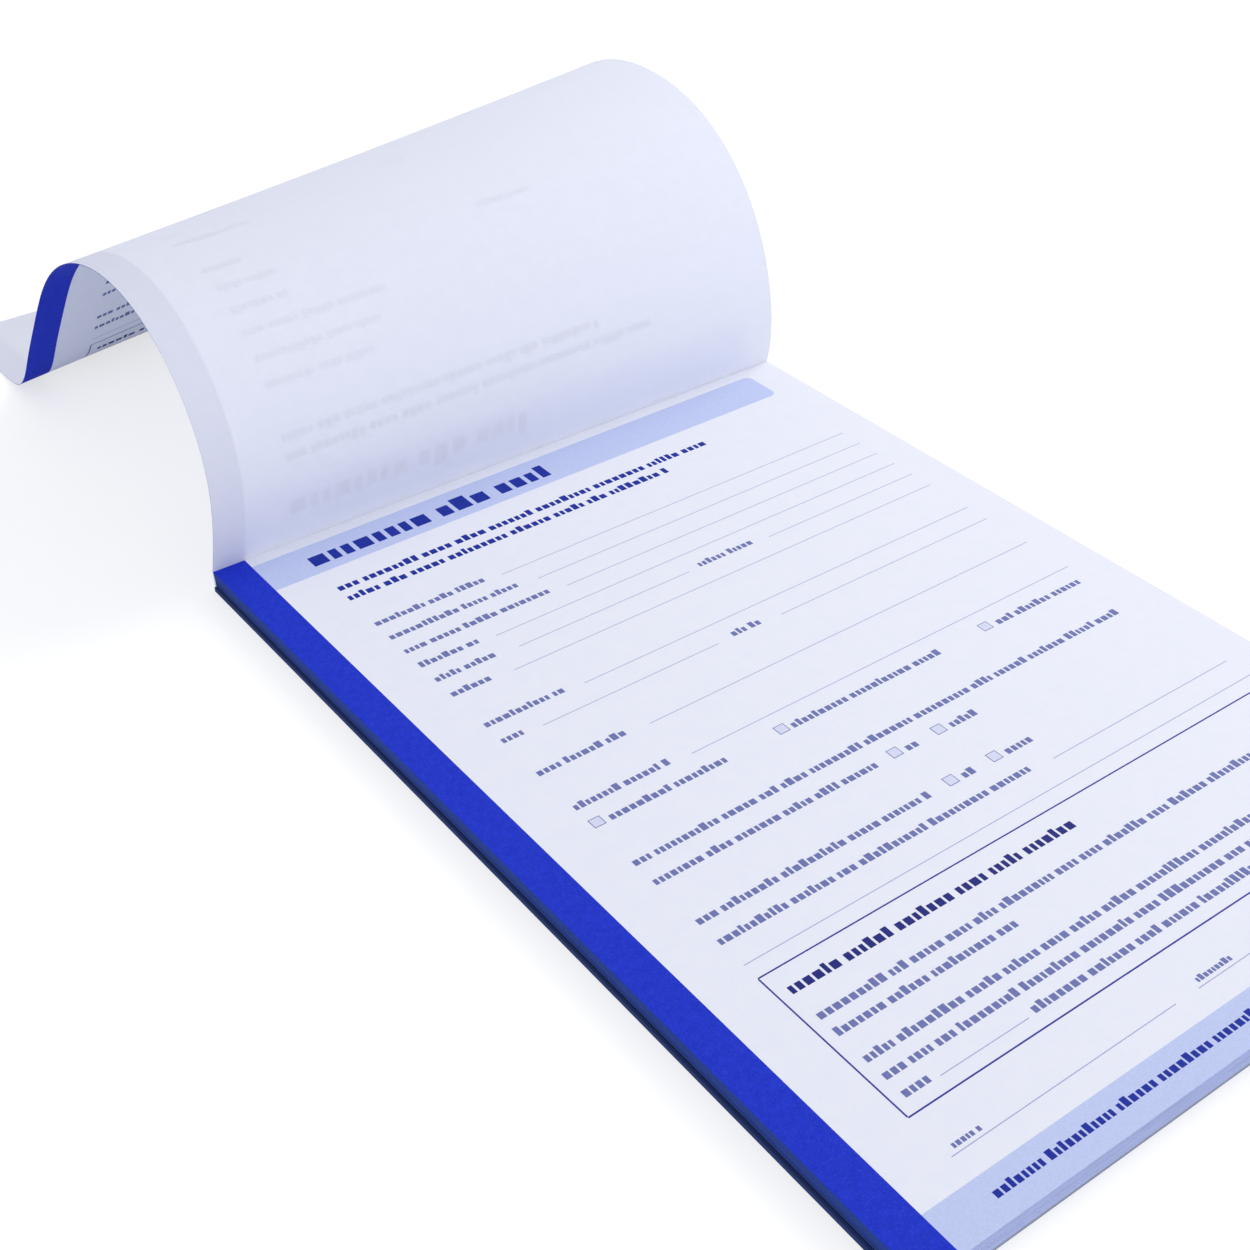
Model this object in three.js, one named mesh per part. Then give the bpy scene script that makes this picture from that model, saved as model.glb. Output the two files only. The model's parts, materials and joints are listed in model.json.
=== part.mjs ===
// A registration form pad: a block of form leaves bound along the head by a film of padding glue,
// on a grey backing board. The top leaf is turned back over the head, so it stands up from the glued
// line, arches over and comes down on the table behind the pad.
//
// Millimetres. X runs across the pad from its left side to its right, Y from the foot to the glued
// head, and Z up. The origin lies on the table, under the middle of the leaves.

import * as THREE from "three";

// Leaves
const LEAF_WIDTH = 148; // A5
const LEAF_LENGTH = 210; // A5
const LEAF_THICKNESS = 0.1; // writing paper of about 80 g
const BLOCK_HEIGHT = 3.6; // of the leaves under the exposed one
const OPENED_SHARE = 0.5; // of those leaves, the upper ones that lift together
const SIDE_DRIFT = 0.24; // how far the lowest leaf has crept to the right of the top one
const LEAF_WANDER = 0.04; // small uneven steps from leaf to leaf
const EDGE_STEP = 0.02; // offsets are rounded to this, so no two edges lie a hair apart

// Backing board
const BOARD_THICKNESS = 1;
const BOARD_PROUD_LEFT = 0.3; // past the leaves
const BOARD_PROUD_RIGHT = 0.1;
const BOARD_SHORT_FOOT = 0.1;

// Padding glue on the head
const FILM_THICKNESS = 0.3;
const FILM_DRAW = 0.3; // how far the drying glue has drawn the middle leaves in
const FILM_LIP = 0.22; // height of the bead behind the turned leaf
const ROOT_CLEARANCE = 0.1; // from the turned leaf's middle plane to the bead behind it
const ROOT_RISE = 0.15; // from the exposed leaf's face to the turned leaf's lowest line

// Turned leaf. Each list holds the leaf's slope, in degrees above the way to the back, at even
// places along one of its side edges: it starts at the glued line and ends at the leaf's foot.
const LEFT_SLOPES = [99, 105, 63, 36, 2, -27, -53, -48, -49, 0, 0, 0];
const RIGHT_SLOPES = [122, 82, 64, 42, 16, -7, -40, -55, -53, -34, -11, 11];
const SWAY = 1.8; // the arch leans this far to the right going up, and to the left coming down
const SWAY_SHARE = 5 / 6; // share of the leaf's length that sways
const STEPS_ALONG = 64;
const STEPS_ACROSS = 6;
const SUBSTEPS = 8; // finer steps that add up the curve between two rows of facets

// Places that follow
const HEAD = LEAF_LENGTH / 2;
const BLOCK_LEAVES = Math.round(BLOCK_HEIGHT / LEAF_THICKNESS);
const FIRST_LIFTED = Math.round(BLOCK_LEAVES * (1 - OPENED_SHARE));
const leafBottom = (leaf) => BOARD_THICKNESS + leaf * LEAF_THICKNESS;
const BLOCK_TOP = leafBottom(BLOCK_LEAVES);
const EXPOSED_TOP = BLOCK_TOP + LEAF_THICKNESS;
const ROOT_HEIGHT = EXPOSED_TOP + ROOT_RISE;

const paper = { color: 0xe4e9f6, roughness: 0.85, metalness: 0 };
const greyboard = { color: 0x8d8f94, roughness: 0.95, metalness: 0 };
const driedGlue = { color: 0xeef0f2, roughness: 0.45, metalness: 0 };

const pad = new THREE.Group();
const addPiece = (name, geometry, look, parent = pad) => {
  const mesh = new THREE.Mesh(geometry, new THREE.MeshStandardMaterial(look));
  mesh.name = name;
  parent.add(mesh);
  return mesh;
};

const roundToStep = (value) => Math.round(value / EDGE_STEP) * EDGE_STEP;

// Height of a block leaf's middle in the block, from 0 at the board to 1 at the top.
const levelOf = (leaf) => (leaf + 0.5) / BLOCK_LEAVES;

// How far the head edge of a block leaf lies inside the head of the pad.
const drawnIn = (leaf) =>
  roundToStep(
    FILM_DRAW * Math.sin(Math.PI * levelOf(leaf)) + (LEAF_WANDER / 2) * (1 + Math.sin(2.4 * leaf)),
  );

// How far a block leaf lies to the right of the exposed leaf.
const driftOf = (leaf) =>
  roundToStep(SIDE_DRIFT * (1 - levelOf(leaf)) ** 3 + LEAF_WANDER * Math.sin(1.7 * leaf));

// A flat sheet from its lowest and highest corners. Each face takes its place straight from them,
// so sheets that lie on each other meet in exactly one plane.
const slab = (name, low, high, look, parent) => {
  const geometry = new THREE.BoxGeometry();
  const corners = geometry.getAttribute("position");
  for (let i = 0; i < corners.count; i++) {
    const place = low.map((value, axis) => (corners.getComponent(i, axis) < 0 ? value : high[axis]));
    corners.setXYZ(i, ...place);
  }
  return addPiece(name, geometry, look, parent);
};

function addBoard() {
  const left = -LEAF_WIDTH / 2 - BOARD_PROUD_LEFT;
  const right = LEAF_WIDTH / 2 + BOARD_PROUD_RIGHT;
  slab("backing_board", [left, BOARD_SHORT_FOOT - HEAD, 0], [right, HEAD, BOARD_THICKNESS], greyboard);
}

function addFlatLeaf(name, bottom, top, drift, draw, parent) {
  const low = [drift - LEAF_WIDTH / 2, -HEAD - draw, bottom];
  const high = [drift + LEAF_WIDTH / 2, HEAD - draw, top];
  slab(name, low, high, paper, parent);
}

function addBlock() {
  const lower = new THREE.Group();
  const upper = new THREE.Group();
  pad.add(lower, upper);
  for (let leaf = 0; leaf < BLOCK_LEAVES; leaf++) {
    const number = String(leaf + 1).padStart(2, "0");
    const parent = leaf < FIRST_LIFTED ? lower : upper;
    const [bottom, top] = [leafBottom(leaf), leafBottom(leaf + 1)];
    addFlatLeaf("leaf_" + number, bottom, top, driftOf(leaf), drawnIn(leaf), parent);
  }
}

// The film's section, seen from the left with Y to the right: its outer side is straight, and its
// inner side follows the head edge of the board and of every leaf.
function addGlueFilm() {
  const inner = [[HEAD, 0]];
  const stepTo = (y, bottom, top) => {
    const last = inner[inner.length - 1];
    if (last[0] !== y) inner.push([y, bottom]);
    inner.push([y, top]);
  };
  stepTo(HEAD, 0, BOARD_THICKNESS);
  for (let leaf = 0; leaf < BLOCK_LEAVES; leaf++) {
    stepTo(HEAD - drawnIn(leaf), leafBottom(leaf), leafBottom(leaf + 1));
  }
  stepTo(HEAD, BLOCK_TOP, EXPOSED_TOP);
  stepTo(HEAD + ROOT_CLEARANCE, EXPOSED_TOP, EXPOSED_TOP + FILM_LIP);
  // Points in the middle of a straight run go, so the section keeps only its corners.
  const corners = inner.filter(([y], i) => {
    const before = inner[i - 1];
    const after = inner[i + 1];
    return !before || !after || before[0] !== y || after[0] !== y;
  });
  const outer = HEAD + FILM_THICKNESS;
  const section = new THREE.Shape(
    [...corners, [outer, EXPOSED_TOP + FILM_LIP], [outer, 0]].map(([y, z]) => new THREE.Vector2(y, z)),
  );
  const geometry = new THREE.ExtrudeGeometry(section, { depth: LEAF_WIDTH, bevelEnabled: false });
  // The section's first axis becomes Y, its second Z, and its depth runs along X.
  geometry.applyMatrix4(
    new THREE.Matrix4().makeBasis(
      new THREE.Vector3(0, 1, 0),
      new THREE.Vector3(0, 0, 1),
      new THREE.Vector3(1, 0, 0),
    ),
  );
  geometry.translate(-LEAF_WIDTH / 2, 0, 0);
  addPiece("padding_glue", geometry, driedGlue);
}

// The slope in degrees at a share of the leaf's length, blended smoothly from a list of slopes.
function slopeAt(slopes, share) {
  const spans = slopes.length - 2;
  const span = Math.min(Math.floor(share * spans), spans - 1);
  const t = share * spans - span;
  const early = 0.5 * (1 - t) ** 2;
  const late = 0.5 * t ** 2;
  return early * slopes[span] + (1 - early - late) * slopes[span + 1] + late * slopes[span + 2];
}

// Adds up one edge of the turned leaf from the glued line. Falling slopes are made steeper or
// gentler by a factor, which settles where the edge ends.
function edgeCurve(slopes, fallFactor) {
  const fitted = slopes.map((slope) => (slope < 0 ? slope * fallFactor : slope));
  const steps = STEPS_ALONG * SUBSTEPS;
  const step = LEAF_LENGTH / steps;
  const points = [{ y: HEAD, z: ROOT_HEIGHT }];
  let { y, z } = points[0];
  for (let i = 0; i < steps; i++) {
    const slope = THREE.MathUtils.degToRad(slopeAt(fitted, (i + 0.5) / steps));
    y += Math.cos(slope) * step;
    z += Math.sin(slope) * step;
    if ((i + 1) % SUBSTEPS === 0) points.push({ y, z });
  }
  return points;
}

// The edge whose foot end lies on the table.
function edgeOnTable(slopes) {
  let gentle = 0.2;
  let steep = 1.7;
  for (let i = 0; i < 50; i++) {
    const middle = (gentle + steep) / 2;
    const end = edgeCurve(slopes, middle)[STEPS_ALONG];
    if (end.z > LEAF_THICKNESS / 2) gentle = middle;
    else steep = middle;
  }
  return edgeCurve(slopes, (gentle + steep) / 2);
}

// The turned leaf is ruled from its left edge to its right, then given its thickness both ways
// from that middle surface.
function addTurnedLeaf() {
  const left = edgeOnTable(LEFT_SLOPES);
  const right = edgeOnTable(RIGHT_SLOPES);
  const middle = (row, column) => {
    const across = column / STEPS_ACROSS;
    const swayed = Math.min(row / STEPS_ALONG / SWAY_SHARE, 1);
    return new THREE.Vector3(
      (across - 0.5) * LEAF_WIDTH + SWAY * Math.sin(2 * Math.PI * swayed),
      THREE.MathUtils.lerp(left[row].y, right[row].y, across),
      THREE.MathUtils.lerp(left[row].z, right[row].z, across),
    );
  };
  const normalAt = (row, column) => {
    const along = middle(Math.min(row + 1, STEPS_ALONG), column).sub(middle(Math.max(row - 1, 0), column));
    const across = middle(row, STEPS_ACROSS).sub(middle(row, 0));
    return across.cross(along).normalize();
  };
  const positions = [];
  const side = (sign) => {
    for (let row = 0; row <= STEPS_ALONG; row++) {
      for (let column = 0; column <= STEPS_ACROSS; column++) {
        const offset = normalAt(row, column).multiplyScalar((sign * LEAF_THICKNESS) / 2);
        positions.push(...middle(row, column).add(offset).toArray());
      }
    }
  };
  side(1);
  side(-1);
  const columns = STEPS_ACROSS + 1;
  const under = (STEPS_ALONG + 1) * columns;
  const at = (row, column) => row * columns + column;
  const index = [];
  const quad = (a, b, c, d) => index.push(a, b, c, a, c, d);
  for (let row = 0; row < STEPS_ALONG; row++) {
    for (let column = 0; column < STEPS_ACROSS; column++) {
      const [a, b] = [at(row, column), at(row, column + 1)];
      const [c, d] = [at(row + 1, column + 1), at(row + 1, column)];
      quad(a, b, c, d);
      quad(under + a, under + d, under + c, under + b);
    }
    const [l, nextL] = [at(row, 0), at(row + 1, 0)];
    const [r, nextR] = [at(row, STEPS_ACROSS), at(row + 1, STEPS_ACROSS)];
    quad(l, nextL, under + nextL, under + l);
    quad(nextR, r, under + r, under + nextR);
  }
  for (let column = 0; column < STEPS_ACROSS; column++) {
    const [a, b] = [at(0, column), at(0, column + 1)];
    const [c, d] = [at(STEPS_ALONG, column), at(STEPS_ALONG, column + 1)];
    quad(b, a, under + a, under + b);
    quad(c, d, under + d, under + c);
  }
  const geometry = new THREE.BufferGeometry();
  geometry.setAttribute("position", new THREE.Float32BufferAttribute(positions, 3));
  geometry.setIndex(index);
  geometry.computeVertexNormals();
  addPiece("turned_leaf", geometry, paper);
}

addBoard();
addBlock();
addFlatLeaf("exposed_leaf", BLOCK_TOP, EXPOSED_TOP, 0, 0, pad);
addGlueFilm();
addTurnedLeaf();

export default pad;
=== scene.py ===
# The looks of a registration form pad: its printed leaves, its glued head and its backing board.
import json
import math
import random
from bisect import bisect_right

import bpy
from mathutils import Matrix, Vector


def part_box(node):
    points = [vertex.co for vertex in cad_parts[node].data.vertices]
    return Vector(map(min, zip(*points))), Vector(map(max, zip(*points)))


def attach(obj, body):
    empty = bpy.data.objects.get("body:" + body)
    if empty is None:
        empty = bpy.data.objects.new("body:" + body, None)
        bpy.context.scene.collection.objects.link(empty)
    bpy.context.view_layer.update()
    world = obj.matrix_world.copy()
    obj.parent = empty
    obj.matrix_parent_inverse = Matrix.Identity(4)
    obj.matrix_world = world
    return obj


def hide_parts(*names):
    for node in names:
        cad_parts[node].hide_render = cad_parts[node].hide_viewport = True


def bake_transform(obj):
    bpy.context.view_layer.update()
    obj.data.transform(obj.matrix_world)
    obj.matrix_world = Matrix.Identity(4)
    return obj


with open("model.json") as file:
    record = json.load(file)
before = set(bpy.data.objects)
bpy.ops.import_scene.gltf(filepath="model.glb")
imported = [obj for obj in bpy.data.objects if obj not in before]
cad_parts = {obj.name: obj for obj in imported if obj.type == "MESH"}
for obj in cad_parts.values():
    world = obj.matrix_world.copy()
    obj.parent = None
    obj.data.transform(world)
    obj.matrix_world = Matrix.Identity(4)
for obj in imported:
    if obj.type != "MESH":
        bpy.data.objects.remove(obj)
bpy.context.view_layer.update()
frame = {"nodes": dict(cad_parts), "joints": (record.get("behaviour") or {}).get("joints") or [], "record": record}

scene = bpy.context.scene

# Sizes below are in millimetres. A place on a leaf is given flat: u from its left edge, v from its
# head and h above its printed face.
MM = 0.001


def corners(node):
    low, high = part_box(node)
    return low / MM, high / MM


LEAF_LOW, LEAF_HIGH = corners("exposed_leaf")
WIDTH = LEAF_HIGH.x - LEAF_LOW.x
LENGTH = LEAF_HIGH.y - LEAF_LOW.y
PAPER = LEAF_HIGH.z - LEAF_LOW.z
HINGES = {joint["name"]: Vector(joint["pos_m"]) / MM for joint in frame["joints"]}
ROOT = HINGES["turned_leaf_return"]

# How finely a leaf is divided along its length and across
FINE_LENGTH = 12.1  # beside the glued head, where it bends
FINE_STEP = 0.55
CURVED_STEP = 1.5
FLAT_STEP = 12
TURNED_COLUMNS = 24
EXPOSED_COLUMNS = 12
BLOCK_COLUMNS = 2
SHARP_ANGLE = 35  # where faces turn by more degrees than this, the edge between them is sharp

# The turned leaf's slopes in degrees above the way to the back, at even places along each side
LEFT_SLOPES = [99, 105, 63, 36, 2, -27, -53, -48, -49, 0, 0, 0]
RIGHT_SLOPES = [122, 82, 64, 42, 16, -7, -40, -55, -53, -34, -11, 11]
SWAY = 1.8
SWAY_SHARE = 5 / 6
CURVE_STEPS = 840
FALL_FACTORS = 0.2, 1.7  # the gentlest and the steepest fall that are tried
FALL_TRIES = 30
ROOT_REACH = 0.12  # how far it reaches down into the glued line, so that no slit shows there

# Ink
INK_LAYER = 0.006
INK_SINK = 0.02  # how deep the ink reaches into the paper
INK_LIFT = 0.012


def stations(coarse_step):
    """The places along a leaf where it has a row of points."""
    fine = round(FINE_LENGTH / FINE_STEP)
    coarse = math.ceil((LENGTH - FINE_LENGTH) / coarse_step)
    near = [FINE_STEP * i for i in range(fine)]
    return near + [FINE_LENGTH + (LENGTH - FINE_LENGTH) * i / coarse for i in range(coarse + 1)]


class Leaf:
    """A sheet of paper, as straight lines across it from its left edge to its right."""

    def __init__(self, row_at, coarse_step):
        self.places = stations(coarse_step)
        self.rows = [row_at(v) for v in self.places]

    def at(self, u, v, h=0.0):
        i = min(max(bisect_right(self.places, v) - 1, 0), len(self.places) - 2)
        share = (v - self.places[i]) / (self.places[i + 1] - self.places[i])
        across = u / WIDTH
        ends = []
        for left, right, left_up, right_up in self.rows[i:i + 2]:
            ends.append(left.lerp(right, across) + h * left_up.lerp(right_up, across))
        return ends[0].lerp(ends[1], share)


def flat_leaf(node):
    """A leaf that lies flat where the node lies."""
    low, high = corners(node)
    up = Vector((0, 0, 1))

    def row_at(v):
        y = high.y - v
        return Vector((low.x, y, high.z)), Vector((high.x, y, high.z)), up, up

    return Leaf(row_at, FLAT_STEP)


def slope_at(slopes, share):
    spans = len(slopes) - 2
    span = min(int(share * spans), spans - 1)
    t = share * spans - span
    early, late = 0.5 * (1 - t) ** 2, 0.5 * t ** 2
    return early * slopes[span] + (1 - early - late) * slopes[span + 1] + late * slopes[span + 2]


def edge_curve(slopes, fall_factor):
    """One edge of the turned leaf from the glued line, with its falling slopes times fall_factor."""
    fitted = [slope * fall_factor if slope < 0 else slope for slope in slopes]
    step = LENGTH / CURVE_STEPS
    points = [Vector((0, ROOT.y, ROOT.z))]
    for i in range(CURVE_STEPS):
        slope = math.radians(slope_at(fitted, (i + 0.5) / CURVE_STEPS))
        points.append(points[-1] + step * Vector((0, math.cos(slope), math.sin(slope))))
    return points


def edge_on_table(slopes):
    """The edge whose foot end lies on the table."""
    gentle, steep = FALL_FACTORS
    for _ in range(FALL_TRIES):
        middle = (gentle + steep) / 2
        if edge_curve(slopes, middle)[-1].z > PAPER / 2:
            gentle = middle
        else:
            steep = middle
    return edge_curve(slopes, (gentle + steep) / 2)


def turned_leaf():
    """The leaf that arches over the head. Its printed face is inside the arch."""
    edges = edge_on_table(LEFT_SLOPES), edge_on_table(RIGHT_SLOPES)

    def middle(side, v):
        place = v / LENGTH * CURVE_STEPS
        i = min(max(int(place), 0), CURVE_STEPS - 1)
        start, end = edges[side][i:i + 2]
        sway = SWAY * math.sin(2 * math.pi * min(v / LENGTH / SWAY_SHARE, 1))
        return start + (place - i) * (end - start) + Vector(((side - 0.5) * WIDTH + sway, 0, 0))

    def row_at(v):
        across = middle(1, v) - middle(0, v)
        faces, ups = [], []
        for side in (0, 1):
            along = middle(side, v + CURVED_STEP / 2) - middle(side, v - CURVED_STEP / 2)
            up = along.cross(across).normalized()
            faces.append(middle(side, v) + up * PAPER / 2)
            ups.append(up)
        return (*faces, *ups)

    leaf = Leaf(row_at, CURVED_STEP)
    leaf.places[0] = -ROOT_REACH
    leaf.rows[0] = row_at(-ROOT_REACH)
    return leaf


class Shell:
    """A mesh in the making: closed blocks that follow a leaf."""

    def __init__(self):
        self.points, self.flat, self.faces, self.slots = [], [], [], []

    def block(self, leaf, across_at, vs, low, high, slots):
        """Adds a block from h = low to high over the rows vs. across_at(v) gives the same number of
        u for each row. slots are for the top, the bottom, and the left, right, head and foot walls."""
        first = len(self.points)
        columns = len(across_at(vs[0]))
        for h in (high, low):
            for v in vs:
                for u in across_at(v):
                    self.points.append(leaf.at(u, v, h) * MM)
                    self.flat.append((u / WIDTH, 1 - v / LENGTH))

        def at(level, row, column):
            return first + (level * len(vs) + row) * columns + column

        def quad(slot, *places):
            self.faces.append([at(*place) for place in places])
            self.slots.append(slot)

        top, bottom, left, right, head, foot = slots
        last = columns - 1
        end = len(vs) - 1
        for row in range(end):
            for column in range(last):
                a, b, c, d = (row, column), (row + 1, column), (row + 1, column + 1), (row, column + 1)
                quad(top, (0, *a), (0, *b), (0, *c), (0, *d))
                quad(bottom, (1, *d), (1, *c), (1, *b), (1, *a))
            quad(left, (0, row + 1, 0), (0, row, 0), (1, row, 0), (1, row + 1, 0))
            quad(right, (0, row, last), (0, row + 1, last), (1, row + 1, last), (1, row, last))
        for column in range(last):
            quad(head, (0, 0, column), (0, 0, column + 1), (1, 0, column + 1), (1, 0, column))
            quad(foot, (0, end, column + 1), (0, end, column), (1, end, column), (1, end, column + 1))

    def piece(self, name, materials):
        mesh = bpy.data.meshes.new(name)
        mesh.from_pydata(self.points, [], self.faces)
        for material in materials:
            mesh.materials.append(material)
        uv = mesh.uv_layers.new(name="flat")
        for polygon, slot in zip(mesh.polygons, self.slots):
            polygon.material_index = slot
            polygon.use_smooth = True
            for loop in polygon.loop_indices:
                uv.data[loop].uv = self.flat[mesh.loops[loop].vertex_index]
        mesh.set_sharp_from_angle(angle=math.radians(SHARP_ANGLE))
        piece = bpy.data.objects.new(name, mesh)
        scene.collection.objects.link(piece)
        return piece


# Materials

class Look:
    """A material in the making, with short ways to feed its shader."""

    def __init__(self, name, color, roughness):
        self.material = bpy.data.materials.new(name)
        self.material.use_nodes = True
        self.material.diffuse_color = (*color, 1)
        self.tree = self.material.node_tree
        self.shader = self.tree.nodes["Principled BSDF"]
        self.shader.inputs["Roughness"].default_value = roughness
        self.set("Base Color", (*color, 1))

    def node(self, kind, values=(), **settings):
        node = self.tree.nodes.new("ShaderNode" + kind)
        for key, value in settings.items():
            setattr(node, key, value)
        for key, value in dict(values).items():
            self.give(node.inputs[key], value)
        return node

    def give(self, socket, value):
        if isinstance(value, bpy.types.NodeSocket):
            self.tree.links.new(value, socket)
        else:
            socket.default_value = value

    def set(self, name, value):
        self.give(self.shader.inputs[name], value)

    def sums(self, operation, a, b=0.0, c=0.0):
        return self.node("Math", {0: a, 1: b, 2: c}, operation=operation).outputs[0]

    def mixed(self, share, a, b):
        a, b = (color if isinstance(color, bpy.types.NodeSocket) else (*color, 1) for color in (a, b))
        return self.node("Mix", {0: share, 6: a, 7: b}, data_type="RGBA").outputs[2]

    def noise(self, size, detail=2.0, stretch=(1, 1, 1)):
        """Noise with features of about size, drawn out along the axes by stretch."""
        place = self.node("TexCoord").outputs["Object"]
        scale = tuple(1 / (size * MM * s) for s in stretch)
        mapped = self.node("Mapping", {"Vector": place, "Scale": scale})
        values = {"Vector": mapped.outputs[0], "Scale": 1.0, "Detail": detail}
        return self.node("TexNoise", values).outputs[0]

    def step(self, value, low, high):
        """0 below low and 1 above high, with a smooth rise between them."""
        values = {"Value": value, "From Min": low, "From Max": high}
        return self.node("MapRange", values, interpolation_type="SMOOTHSTEP").outputs[0]

    def band(self, value, low, high, soft):
        rise = self.step(value, low - soft, low + soft)
        fall = self.step(value, high - soft, high + soft)
        return self.sums("SUBTRACT", rise, fall)

    def let_light_through(self, color):
        through = self.node("BsdfTranslucent", {"Color": color}).outputs[0]
        both = self.node("MixShader", {0: TRANSLUCENCY, 1: self.shader.outputs[0], 2: through})
        self.give(self.tree.nodes["Material Output"].inputs["Surface"], both.outputs[0])

    def bump(self, height, depth, strength=1.0):
        values = {"Height": height, "Distance": depth * MM, "Strength": strength}
        self.set("Normal", self.node("Bump", values).outputs[0])

    def paper_bump(self):
        """The fine unevenness of uncoated paper."""
        self.bump(self.noise(0.22, 4), 0.012, 0.5)


def tinted(color, factor):
    return tuple(channel * factor for channel in color)


PAPER_COLOR = (0.80, 0.81, 0.88)
PAPER_CLOUDS = (0.775, 0.79, 0.865)
SINGLE_COLOR = (0.86, 0.875, 0.95)  # a leaf with light on both sides, some of which goes through
SINGLE_CLOUDS = (0.835, 0.855, 0.935)
SINGLE_FACE_COLOR = (0.88, 0.905, 0.985)
SINGLE_FACE_CLOUDS = (0.86, 0.89, 0.975)
THROUGH_FACE = (0.84, 0.89, 1.0)
THROUGH_REVERSE = (0.92, 0.93, 0.95)
TRANSLUCENCY = 0.2
STRIPE_COLOR = (0.008, 0.030, 0.56)
STRIPE_DEEP = (0.004, 0.022, 0.46)
BAND_COLOR = (0.535, 0.60, 0.86)
TEXT_COLOR = (0.165, 0.187, 0.44)
TITLE_COLOR = (0.010, 0.028, 0.35)
HEADING_COLOR = (0.018, 0.024, 0.21)
RULE_COLOR = (0.36, 0.39, 0.64)
FRAME_COLOR = (0.035, 0.045, 0.34)
BOX_COLOR = (0.67, 0.70, 0.85)
BOARD_COLOR = (0.34, 0.37, 0.47)
# painted shade for the board's left edge: dark navy, as that side lies in shade
BOARD_EDGE_SHADE = (0.023, 0.047, 0.16)
GLUE_COLOR = (0.80, 0.83, 0.88)
INK_SPECULAR = 0.12
DULL_SPECULAR = 0.2  # of cut edges and board
PAPER_ROUGHNESS = 0.82
CUT_EDGE_ROUGHNESS = 0.88
INK_ROUGHNESS = 0.6
STRIPE_ROUGHNESS = 0.62
BAND_ROUGHNESS = 0.75
BOARD_ROUGHNESS = 0.92
GLUE_ROUGHNESS = 0.38
BAND_IN_LIGHT = 0.15  # how far a pale band tints the light that comes through it
PAPER_STREAKS = 0.02  # how much darker the streaks of the cut edges are
INK_STREAKS = 0.15
STRIPE_CLOUDS = 0.6  # how far the stripe's clouds go towards its deep blue
STRIPE_GRAIN = 0.16  # and its grain towards its pale blue
STRIPE_PALE = (0.10, 0.16, 0.72)
FIBRE_TONE = 0.8  # tones are shares of the board's colour
DARK_FLECKS, DARK_TONE = 0.55, 0.35
PALE_FLECKS, PALE_TONE = 0.4, 1.6
BRUSHED_TONE = 0.88


def paper(name, color, cloudy):
    look = Look(name, color, PAPER_ROUGHNESS)
    clouds = look.step(look.noise(3, 2), 0.35, 0.65)
    grain = look.step(look.noise(0.4, 4), 0.4, 0.6)
    share = look.sums("MULTIPLY", look.sums("ADD", clouds, grain), 0.5)
    look.color = look.mixed(share, color, cloudy)
    look.set("Base Color", look.color)
    look.paper_bump()
    return look


def single_reverse():
    """The blank side of a leaf that stands by itself, so that light comes through it."""
    look = paper("single_reverse", SINGLE_COLOR, SINGLE_CLOUDS)
    look.let_light_through((*THROUGH_REVERSE, 1))
    return look.material


def single_face():
    """That leaf's printed side. Its pale bands are tints here, as light comes through them too."""
    look = paper("single_face", SINGLE_FACE_COLOR, SINGLE_FACE_CLOUDS)
    flat = look.node("SeparateXYZ", {0: look.node("UVMap", uv_map="flat").outputs[0]}).outputs
    u = look.sums("MULTIPLY", flat[0], WIDTH)
    v = look.sums("MULTIPLY", look.sums("SUBTRACT", 1.0, flat[1]), LENGTH)
    across = look.band(u, 0, BAND_RIGHT, EDGE_BLUR)
    title = look.sums("MULTIPLY", across, look.band(v, BAND_START, BAND_END, EDGE_BLUR))
    footer = look.step(v, FOOTER_START - EDGE_BLUR, FOOTER_START + EDGE_BLUR)
    tint = look.sums("ADD", title, footer)
    look.set("Base Color", look.mixed(tint, look.color, BAND_COLOR))
    in_light = look.sums("MULTIPLY", tint, BAND_IN_LIGHT)
    look.let_light_through(look.mixed(in_light, THROUGH_FACE, BAND_COLOR))
    return look.material


def streaked(look, color, depth):
    streaks = look.step(look.noise(1.3, 3, (6, 6, 0.08)), 0.3, 0.7)
    return look.mixed(streaks, color, tinted(color, 1 - depth))


def block_leaf(name, tone, stripe, has_map):
    """A leaf of the block and the edges of any leaf. The stripe is cut through at the left edge, and
    the footer band at the foot. has_map is true for leaves that have a flat map of their own."""
    look = Look(name, PAPER_COLOR, CUT_EDGE_ROUGHNESS)
    look.set("Specular IOR Level", DULL_SPECULAR)
    if has_map:
        flat = look.node("SeparateXYZ", {0: look.node("UVMap", uv_map="flat").outputs[0]}).outputs
        from_left = look.sums("MULTIPLY", flat[0], WIDTH)
        from_foot = look.sums("MULTIPLY", flat[1], LENGTH)
    else:
        place = look.node("SeparateXYZ", {0: look.node("TexCoord").outputs["Object"]}).outputs
        from_left = look.sums("MULTIPLY_ADD", place[0], 1 / MM, -LEAF_LOW.x)
        from_foot = look.sums("MULTIPLY_ADD", place[1], 1 / MM, -LEAF_LOW.y)
    pale = streaked(look, tinted(PAPER_COLOR, tone), PAPER_STREAKS)
    # the stripe's ink on the cut left edges; for the lower leaves it is darkened by painted shade, for the last
    # few it is a painted groove shadow
    ink_and_shade = streaked(look, tinted(stripe, tone), INK_STREAKS)
    tinged = streaked(look, tinted(FOOT_EDGE, tone), INK_STREAKS)
    above_foot = look.mixed(look.step(from_foot, EDGE_ZONE, EDGE_ZONE + EDGE_BLUR), tinged, pale)
    beside_stripe = look.step(from_left, EDGE_ZONE, EDGE_ZONE + EDGE_BLUR)
    look.set("Base Color", look.mixed(beside_stripe, ink_and_shade, above_foot))
    return look.material


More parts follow.
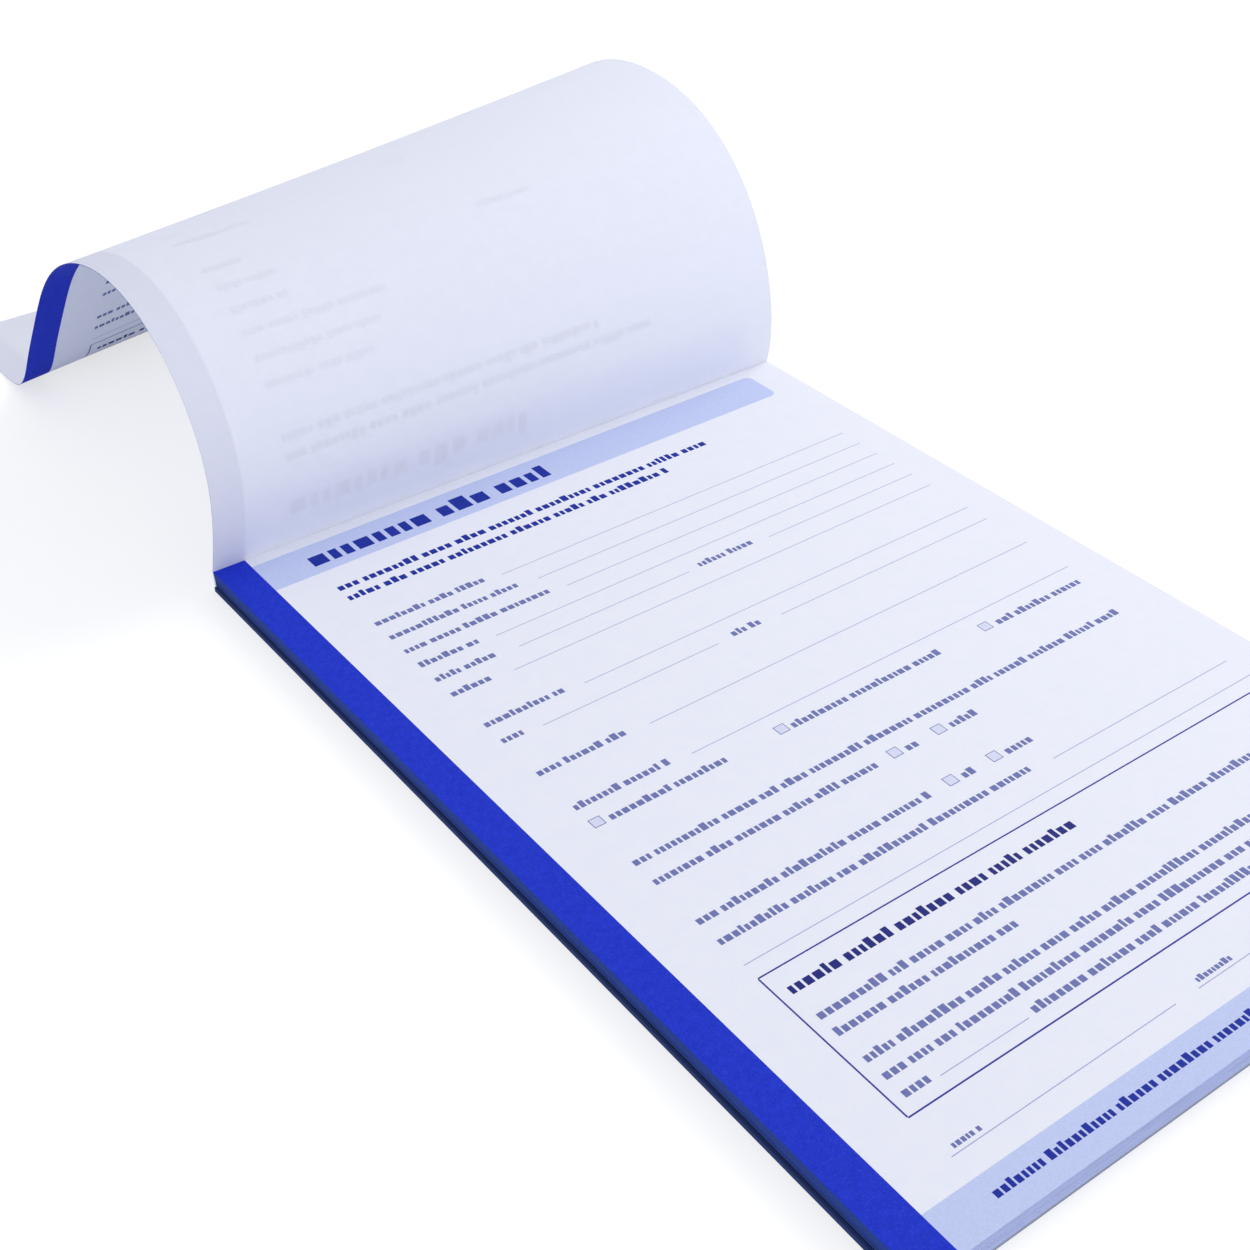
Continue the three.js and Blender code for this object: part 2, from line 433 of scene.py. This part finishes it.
def ink(name, color, speck_tone, roughness=INK_ROUGHNESS):
    """An ink with specks whose colour is speck_tone times its own."""
    look = Look(name, color, roughness)
    look.set("Specular IOR Level", INK_SPECULAR)
    specks = look.step(look.noise(0.35, 4), 0.35, 0.7)
    look.set("Base Color", look.mixed(specks, color, tinted(color, speck_tone)))
    return look.material


def stripe_ink():
    """The solid blue of the stripe, with the fine mottle of ink on uncoated paper."""
    look = Look("stripe_ink", STRIPE_COLOR, STRIPE_ROUGHNESS)
    look.set("Specular IOR Level", INK_SPECULAR)
    clouds = look.step(look.noise(1.6, 4), 0.3, 0.7)
    grain = look.step(look.noise(0.3, 5), 0.45, 0.75)
    solid = look.mixed(look.sums("MULTIPLY", clouds, STRIPE_CLOUDS), STRIPE_COLOR, STRIPE_DEEP)
    grainy = look.mixed(look.sums("MULTIPLY", grain, STRIPE_GRAIN), solid, STRIPE_PALE)
    look.set("Base Color", grainy)
    look.paper_bump()
    return look.material


def greyboard():
    """Grey pulp board, with fibres, dark flecks and pale ones, and painted shade on its left edge."""
    look = Look("greyboard", BOARD_COLOR, BOARD_ROUGHNESS)
    look.set("Specular IOR Level", DULL_SPECULAR)
    fibres = look.step(look.noise(1.1, 5, (3, 1, 0.15)), 0.3, 0.7)
    base = look.mixed(fibres, BOARD_COLOR, tinted(BOARD_COLOR, FIBRE_TONE))
    dark = look.step(look.noise(0.55, 2), 0.68, 0.74)
    pale = look.step(look.noise(0.8, 2), 0.70, 0.76)
    dark_share = look.sums("MULTIPLY", dark, DARK_FLECKS)
    flecked = look.mixed(dark_share, base, tinted(BOARD_COLOR, DARK_TONE))
    pale_share = look.sums("MULTIPLY", pale, PALE_FLECKS)
    speckled = look.mixed(pale_share, flecked, tinted(BOARD_COLOR, PALE_TONE))
    # the board's left edge is painted dark, as shade
    x = look.node("SeparateXYZ", {0: look.node("TexCoord").outputs["Object"]}).outputs[0]
    shade_end = (corners("backing_board")[0].x + BOARD_SHADE_ZONE) * MM
    beside_shade = look.step(x, shade_end, shade_end + BOARD_SHADE_BLUR * MM)
    look.set("Base Color", look.mixed(beside_shade, BOARD_EDGE_SHADE, speckled))
    look.bump(look.noise(0.5, 5, (2, 1, 0.3)), 0.05, 0.6)
    return look.material


def dried_glue():
    look = Look("dried_glue", GLUE_COLOR, GLUE_ROUGHNESS)
    brushed = look.noise(1.4, 3, (8, 1, 1))
    strokes = look.step(brushed, 0.35, 0.7)
    look.set("Base Color", look.mixed(strokes, GLUE_COLOR, tinted(GLUE_COLOR, BRUSHED_TONE)))
    look.bump(brushed, 0.08, 0.6)
    return look.material


# The form, as it lies on a flat leaf. A row of text is (baseline, height, start, end).

STRIPE_WIDTH = 7.2
STRIPE_EDGE = (0.038, 0.084, 0.38)  # on the left edges of the upper leaves
SHADED_STRIPE_EDGE = (0.027, 0.067, 0.29)  # and on those of the leaves under them: the same ink darkened by painted shade, darker towards the table
GROOVE_SHADOW_EDGE = (0.001, 0.005, 0.06)  # and on those of the last few, next to the board: a painted shadow of the groove between the block and the board
# how many leaves next to the board get the painted groove shadow on their left edges
GROOVE_SHADOW_LEAVES = 4
FOOT_EDGE = (0.52, 0.585, 0.86)
EDGE_ZONE = 0.36  # how far in the ink of the block's edges shows between the leaves
# how far in from the board's left edge its painted shade reaches, and how soft its border is
BOARD_SHADE_ZONE = 0.9
BOARD_SHADE_BLUR = 0.05
BAND_START, BAND_END = 3.3, 14.0
BAND_RIGHT = 139.5
BAND_ROUND = 1.8
EDGE_BLUR = 0.1
FOOTER_START = 202.0
TITLE = (11.3, 3.7, 17.7, 78.5)
BOLD_LINES = [(22.2, 1.6, 17.5, 112.5), (26.4, 1.6, 17.5, 99.0)]
MARGIN_LEFT = 17.2
MARGIN_RIGHT = 139.5
TEXT_HEIGHT = 1.35
SMALL_HEIGHT = 0.9
RULE_WIDTH = 0.16
FRAME_WIDTH = 0.3
BOX_SIZE = 2.4

# Writing rows: baseline, then each label's start and end and each rule's start and end
WRITING_ROWS = [
    (37.3, [(17.3, 42.7)], [(46.7, MARGIN_RIGHT)]),
    (43.0, [(17.3, 47.2)], [(51.7, MARGIN_RIGHT)]),
    (48.7, [(17.3, 51.3)], [(55.0, MARGIN_RIGHT)]),
    (54.3, [(17.3, 30.5)], [(34.2, MARGIN_RIGHT)]),
    (60.0, [(17.3, 32.0), (80.5, 95.0)], [(35.8, 77.5), (98.7, MARGIN_RIGHT)]),
    (65.7, [(17.3, 27.0)], [(30.8, MARGIN_RIGHT)]),
    (77.2, [(17.3, 35.5)], [(39.2, MARGIN_RIGHT)]),
    (82.9, [(17.3, 22.2), (70.8, 79.2)], [(25.8, 67.0), (82.8, MARGIN_RIGHT)]),
    (94.4, [(17.3, 38.0)], [(41.7, MARGIN_RIGHT)]),
    (105.8, [(17.3, 38.7)], [(42.5, MARGIN_RIGHT)]),
    (111.5, [(20.8, 48.0), (61.8, 99.5), (114.2, 138.8)], []),
    (123.2, [(17.2, 136.0)], []),
    (128.9, [(17.2, 66.7), (73.8, 77.3), (84.7, 91.7)], []),
    (140.4, [(17.2, 69.0), (76.5, 80.0), (87.2, 94.2)], []),
    (146.0, [(17.2, 88.5)], [(92.5, MARGIN_RIGHT)]),
    (151.5, [], [(MARGIN_LEFT, MARGIN_RIGHT)]),
    (167.3, [(19.5, 136.0)], []),
    (171.4, [(19.5, 58.7)], []),
    (177.8, [(19.5, 134.0)], []),
    (181.9, [(19.5, 137.0)], []),
    (186.0, [(19.5, 25.2), (46.3, 100.0)], [(26.3, 44.7)]),
]
TICK_BOXES = [(111.5, 17.2), (111.5, 58.5), (111.5, 110.3), (128.9, 70.2), (128.9, 81.0),
              (140.4, 72.8), (140.4, 83.5)]
NOTICE = (MARGIN_LEFT, MARGIN_RIGHT, 155.0, 188.8)
NOTICE_HEADING = (160.8, 1.7, 19.5, 83.8)
SIGNING_RULES = [(17.3, 64.5), (69.8, MARGIN_RIGHT)]
SIGNING_LABELS = [(18.7, 24.5), (70.8, 79.0)]
SIGNING_BASELINE = 197.5
SIGNING_LABEL_RISE = 0.8
FOOTER_TEXT = (206.4, 1.3, 17.5, 138.5)

# How a row of text is filled with marks. Widths and gaps are shares of its height.
TEXT_SEED = 7
MARKS_IN_WORD = 3, 11
MARK_WIDTHS = 0.5, 1.0
MARK_GAP = 0.28
WORD_GAP = 0.5
TALL_MARK = 1.35
TALL_MARKS = 0.18  # the share of marks that are tall

ROW_CLEARANCE = 0.05  # a patch leaves out the leaf's rows that are as near as this to its ends
ROUNDING_ANGLES = 20, 40, 60, 80

STRIPE_INK, BAND_INK, TITLE_INK, HEADING_INK, TEXT_INK, RULE_INK, FRAME_INK, BOX_INK = range(8)


class Print(Shell):
    """The inks on one leaf's face, as thin closed layers that follow it."""

    def __init__(self, leaf):
        super().__init__()
        self.leaf = leaf
        self.random = random.Random(TEXT_SEED)

    def patch(self, slot, u0, u1, v0, v1, layer=0, rounding=0.0):
        """A filled field. rounding is the radius of its right-hand corners."""
        rows = [v for v in self.leaf.places if v0 + ROW_CLEARANCE < v < v1 - ROW_CLEARANCE]
        if rounding:
            arcs = [rounding * (1 - math.cos(math.radians(angle))) for angle in ROUNDING_ANGLES]
            rows += [v0 + arc for arc in arcs] + [v1 - arc for arc in arcs]
        vs = sorted({v0, v1, *rows})

        def across_at(v):
            inset = max(rounding - min(v - v0, v1 - v), 0.0)
            return u0, u1 - rounding + math.sqrt(rounding ** 2 - inset ** 2)

        top = INK_LIFT + layer * INK_LAYER
        self.block(self.leaf, across_at, vs, -INK_SINK, top, [slot] * 6)

    def words(self, slot, row, layer=0):
        """A row of text, as words of small plain marks."""
        baseline, height, start, end = row
        place = start
        while place < end:
            for _ in range(self.random.randint(*MARKS_IN_WORD)):
                width = height * self.random.uniform(*MARK_WIDTHS)
                if place + width > end:
                    return
                tall = height * (TALL_MARK if self.random.random() < TALL_MARKS else 1)
                self.patch(slot, place, place + width, baseline - tall, baseline, layer)
                place += width + MARK_GAP * height
            place += WORD_GAP * height

    def rule(self, slot, start, end, v, width=RULE_WIDTH):
        self.patch(slot, start, end, v - width / 2, v + width / 2)

    def tick_box(self, baseline, start):
        edge = RULE_WIDTH
        self.patch(TEXT_INK, start, start + BOX_SIZE, baseline - BOX_SIZE, baseline)
        self.patch(BOX_INK, start + edge, start + BOX_SIZE - edge, baseline - BOX_SIZE + edge,
                   baseline - edge, layer=1)

    def notice(self):
        left, right, top, bottom = NOTICE
        for v in (top, bottom):
            self.rule(FRAME_INK, left, right, v, FRAME_WIDTH)
        half = FRAME_WIDTH / 2
        for u in (left, right):
            self.patch(FRAME_INK, u - half, u + half, top + half, bottom - half)
        self.words(HEADING_INK, NOTICE_HEADING)

    def bands(self):
        self.patch(BAND_INK, STRIPE_WIDTH, BAND_RIGHT, BAND_START, BAND_END, rounding=BAND_ROUND)
        self.patch(BAND_INK, STRIPE_WIDTH, WIDTH, FOOTER_START, LENGTH)

    def form(self):
        self.patch(STRIPE_INK, 0, STRIPE_WIDTH, 0, LENGTH)
        self.words(TITLE_INK, TITLE, layer=1)
        for row in BOLD_LINES:
            self.words(TITLE_INK, row)
        for baseline, labels, rules in WRITING_ROWS:
            for start, end in labels:
                self.words(TEXT_INK, (baseline, TEXT_HEIGHT, start, end))
            for start, end in rules:
                self.rule(RULE_INK, start, end, baseline)
        for baseline, start in TICK_BOXES:
            self.tick_box(baseline, start)
        self.notice()
        for start, end in SIGNING_RULES:
            self.rule(RULE_INK, start, end, SIGNING_BASELINE)
        for start, end in SIGNING_LABELS:
            self.words(TEXT_INK, (SIGNING_BASELINE - SIGNING_LABEL_RISE, SMALL_HEIGHT, start, end))
        self.words(TITLE_INK, FOOTER_TEXT, layer=1)


# Pieces

EDGE_TONES = [0.92, 1.0, 0.84, 0.96]
FACE, REVERSE, EDGE = range(3)


def joint_blend(piece):
    """Bakes the piece's placement into its mesh."""
    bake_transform(piece)


def sheet_piece(name, leaf, node, materials, columns):
    shell = Shell()
    across = [WIDTH * i / columns for i in range(columns + 1)]
    slots = [FACE, REVERSE, EDGE, EDGE, EDGE, EDGE]
    shell.block(leaf, lambda v: across, leaf.places, -PAPER, 0, slots)
    piece = shell.piece(name, materials)
    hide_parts(node)
    return piece


def print_piece(name, leaf, inks, with_bands=True):
    printed = Print(leaf)
    printed.form()
    if with_bands:
        printed.bands()
    piece = printed.piece(name, inks)
    return piece


def make_leaves():
    upper_looks, shaded_lower_looks = [], []
    for i, tone in enumerate(EDGE_TONES):
        upper_looks.append(block_leaf("upper_leaf_%d" % i, tone, STRIPE_EDGE, True))
    # the lower leaves' edge looks: copies with painted shade on their left edges
    for i, tone in enumerate(EDGE_TONES):
        shaded_lower_looks.append(block_leaf("shaded_lower_leaf_%d" % i, tone, SHADED_STRIPE_EDGE, False))
    groove_shadow_look = block_leaf("groove_shadow_leaf", EDGE_TONES[0], GROOVE_SHADOW_EDGE, False)
    plain = paper("paper", PAPER_COLOR, PAPER_CLOUDS).material
    inks = [
        stripe_ink(),
        ink("band_ink", BAND_COLOR, 0.93, BAND_ROUGHNESS),
        ink("title_ink", TITLE_COLOR, 0.75),
        ink("heading_ink", HEADING_COLOR, 0.75),
        ink("text_ink", TEXT_COLOR, 0.85),
        ink("rule_ink", RULE_COLOR, 0.92),
        ink("frame_ink", FRAME_COLOR, 0.8),
        ink("box_ink", BOX_COLOR, 0.95),
    ]

    turned = turned_leaf()
    looks = [single_face(), single_reverse(), upper_looks[1]]
    for piece in (sheet_piece("turned_sheet", turned, "turned_leaf", looks, TURNED_COLUMNS),
                  print_piece("turned_sheet_print", turned, inks, with_bands=False)):
        joint_blend(piece)

    exposed = flat_leaf("exposed_leaf")
    looks = [plain, plain, upper_looks[1]]
    for piece in (sheet_piece("exposed_sheet", exposed, "exposed_leaf", looks, EXPOSED_COLUMNS),
                  print_piece("exposed_sheet_print", exposed, inks)):
        joint_blend(piece)

    bodies = frame["record"]["behaviour"]["bodies"]
    upper = sorted(bodies["upper_leaves"])
    for i, node in enumerate(upper):
        look = upper_looks[i % len(upper_looks)]
        piece = sheet_piece(node + "_sheet", flat_leaf(node), node, [look] * 3, BLOCK_COLUMNS)
        joint_blend(piece)
    top_print = print_piece("upper_leaves_print", flat_leaf(upper[-1]), inks)
    joint_blend(top_print)

    lower = sorted(n for n in bodies["root"] if n.startswith("leaf_"))
    for i, node in enumerate(lower):
        # the last few leaves next to the board get a painted groove shadow on their left edges, the other lower
        # leaves painted shade there
        dress(node, groove_shadow_look if i < GROOVE_SHADOW_LEAVES else shaded_lower_looks[i % len(shaded_lower_looks)])
    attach(print_piece("lower_leaves_print", flat_leaf(lower[-1]), inks), "root")


def dress(node, material):
    mesh = frame["nodes"][node].data
    mesh.materials.clear()
    mesh.materials.append(material)


# Stage

FLOOR_SIZE = 6000
FLOOR_DROP = 0.02  # under the pad, so that the two faces don't share a plane
FLOOR_TO_RAYS = (0.90, 0.91, 0.93)
FLOOR_TO_CAMERA = (0.40, 0.40, 0.40)
FLOOR_GLOW = 0.67
FAR_FLOOR_GLOW = 0.78
FAR_FLOOR = 250, 800  # how far out the glow starts and stops growing
LAMP_COLOR = (1, 0.98, 0.92)
LAMP_SIZE = 700
LAMP_TARGET = Vector((0, 50, 20))
KEY_PLACE, KEY_POWER = (800, 100, 560), 4.8
FILL_PLACE, FILL_POWER = (-150, -900, 420), 0.8
LIGHT_FROM_SIDES = (1.10, 1.14, 1.34)
LIGHT_FROM_ABOVE = (0.55, 0.555, 0.55)
CAMERA_PLACE = Vector((-189.67, -203.13, 219.99))
CAMERA_AHEAD = Vector((0.46932, 0.65881, -0.58796))
CAMERA_RIGHT = Vector((0.80623, -0.59129, -0.01900))
LENS = 53.68
SENSOR = 36


def make_camera():
    data = bpy.data.cameras.new("camera")
    data.lens = LENS
    data.sensor_width = SENSOR
    data.clip_start = 0.01
    camera = bpy.data.objects.new("camera", data)
    scene.collection.objects.link(camera)
    back = -CAMERA_AHEAD.normalized()
    up = back.cross(CAMERA_RIGHT).normalized()
    right = up.cross(back)
    turn = Matrix((right, up, back)).transposed().to_4x4()
    camera.matrix_world = Matrix.Translation(CAMERA_PLACE * MM) @ turn
    scene.camera = camera


def make_lamp(name, place, power):
    data = bpy.data.lights.new(name, "AREA")
    data.shape = "DISK"
    data.size = LAMP_SIZE * MM
    data.energy = power
    data.color = LAMP_COLOR
    lamp = bpy.data.objects.new(name, data)
    lamp.location = Vector(place) * MM
    lamp.rotation_euler = (LAMP_TARGET - Vector(place)).to_track_quat("-Z", "Y").to_euler()
    scene.collection.objects.link(lamp)


def make_world():
    """Soft light, stronger and bluer from the sides than from above, but plain white to look at."""
    world = bpy.data.worlds.new("studio")
    scene.world = world
    world.use_nodes = True
    tree = world.node_tree
    soft = tree.nodes["Background"]
    seen = tree.nodes.new("ShaderNodeBackground")
    seen.inputs["Color"].default_value = (1, 1, 1, 1)
    place = tree.nodes.new("ShaderNodeTexCoord")
    split = tree.nodes.new("ShaderNodeSeparateXYZ")
    light = tree.nodes.new("ShaderNodeMix")
    light.data_type = "RGBA"
    light.inputs[6].default_value = (*LIGHT_FROM_SIDES, 1)
    light.inputs[7].default_value = (*LIGHT_FROM_ABOVE, 1)
    paths = tree.nodes.new("ShaderNodeLightPath")
    either, any_of = (tree.nodes.new("ShaderNodeMath") for _ in range(2))
    either.operation = any_of.operation = "MAXIMUM"
    mix = tree.nodes.new("ShaderNodeMixShader")
    for output, socket in [
        (place.outputs["Generated"], split.inputs[0]),
        (split.outputs[2], light.inputs[0]),
        (light.outputs[2], soft.inputs["Color"]),
        (paths.outputs["Is Camera Ray"], either.inputs[0]),
        (paths.outputs["Is Glossy Ray"], either.inputs[1]),
        (either.outputs[0], any_of.inputs[0]),
        (paths.outputs["Is Transmission Ray"], any_of.inputs[1]),
        (any_of.outputs[0], mix.inputs[0]),
        (soft.outputs[0], mix.inputs[1]),
        (seen.outputs[0], mix.inputs[2]),
        (mix.outputs[0], tree.nodes["World Output"].inputs["Surface"]),
    ]:
        tree.links.new(output, socket)


def make_floor():
    half = FLOOR_SIZE / 2
    z = -FLOOR_DROP
    mesh = bpy.data.meshes.new("floor")
    outline = [(-half, -half, z), (half, -half, z), (half, half, z), (-half, half, z)]
    mesh.from_pydata([Vector(p) * MM for p in outline], [], [(0, 1, 2, 3)])
    look = Look("floor", FLOOR_TO_RAYS, 1.0)
    seen = look.node("LightPath").outputs["Is Camera Ray"]
    look.set("Base Color", look.mixed(seen, FLOOR_TO_RAYS, FLOOR_TO_CAMERA))
    look.set("Specular IOR Level", 0.0)
    look.set("Emission Color", (1, 1, 1, 1))
    place = look.node("TexCoord").outputs["Object"]
    distance = look.node("VectorMath", {0: place}, operation="LENGTH").outputs["Value"]
    far = look.step(distance, FAR_FLOOR[0] * MM, FAR_FLOOR[1] * MM)
    glow = look.sums("MULTIPLY_ADD", far, FAR_FLOOR_GLOW - FLOOR_GLOW, FLOOR_GLOW)
    look.set("Emission Strength", look.sums("MULTIPLY", seen, glow))
    mesh.materials.append(look.material)
    floor = bpy.data.objects.new("floor", mesh)
    scene.collection.objects.link(floor)


make_camera()
make_leaves()
dress("backing_board", greyboard())
dress("padding_glue", dried_glue())
make_lamp("key", KEY_PLACE, KEY_POWER)
make_lamp("fill", FILL_PLACE, FILL_POWER)
make_world()
make_floor()
scene.view_settings.view_transform = "Standard"
